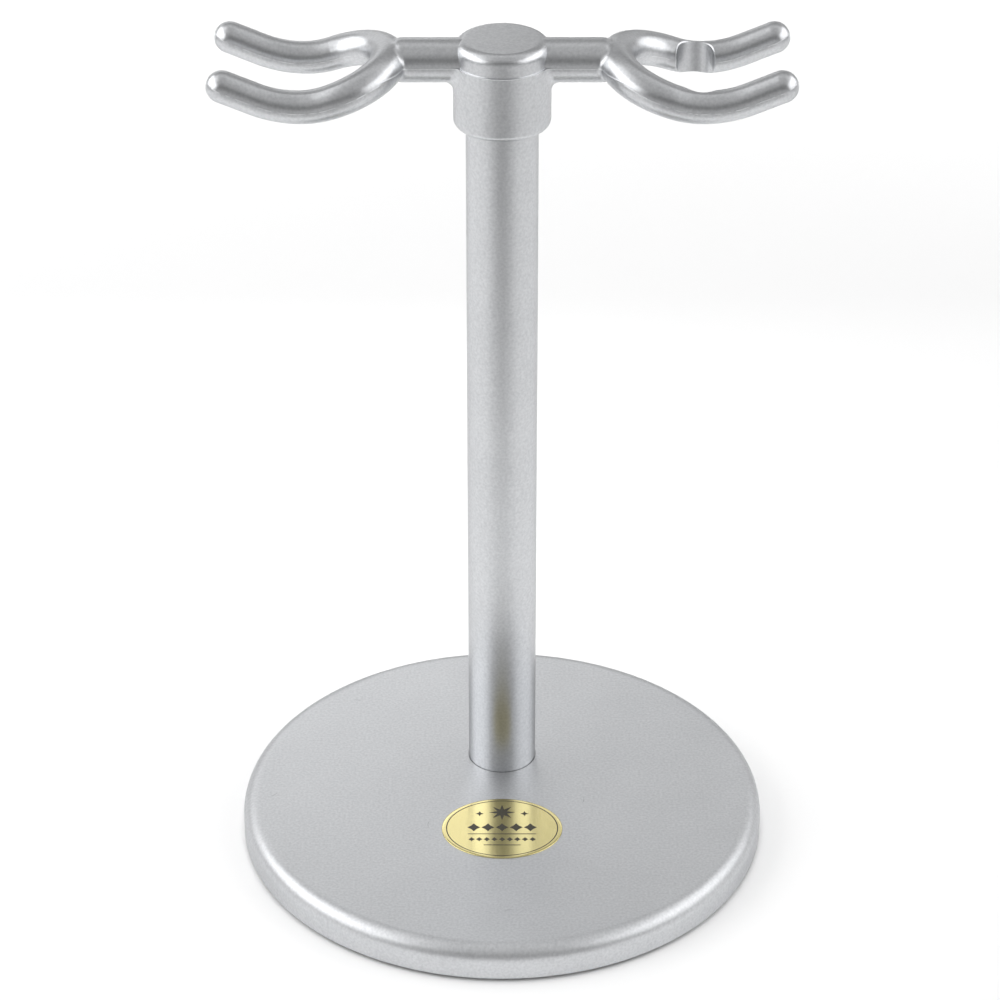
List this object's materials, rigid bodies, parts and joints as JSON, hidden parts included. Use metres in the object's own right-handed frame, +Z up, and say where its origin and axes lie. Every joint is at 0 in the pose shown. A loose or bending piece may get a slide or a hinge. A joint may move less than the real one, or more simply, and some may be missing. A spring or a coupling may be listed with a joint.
{
  "type": "razor stand",
  "caption": "Weighted round base with an upright tube and a cast head whose side forks hang a safety razor and a shaving brush.",
  "frame": {"origin": "middle of the base on the surface that the stand rests on", "axes": "+Z up along the column, +X from the plain fork to the scalloped fork, -Y towards the label side"},
  "size_m": [0.1026, 0.1, 0.1592],
  "materials": {
    "chrome_base": "satin",
    "chrome_column": "satin",
    "chrome_head": "satin",
    "ballast_steel": "mill",
    "zinc_steel": "zinc plated",
    "pad_foam": "closed-cell foam",
    "gold_foil": "satin foil"
  },
  "bodies": {
    "root": {"base_shell": "chrome_base", "ballast_disc": "ballast_steel", "foot_pad": "pad_foam", "column_tube": "chrome_column", "lower_plug": "zinc_steel", "upper_plug": "zinc_steel", "lock_washer": "zinc_steel", "base_screw": "zinc_steel", "head_stud": "zinc_steel", "fork_head": "chrome_head", "oval_label": "gold_foil"}
  },
  "joints": []
}
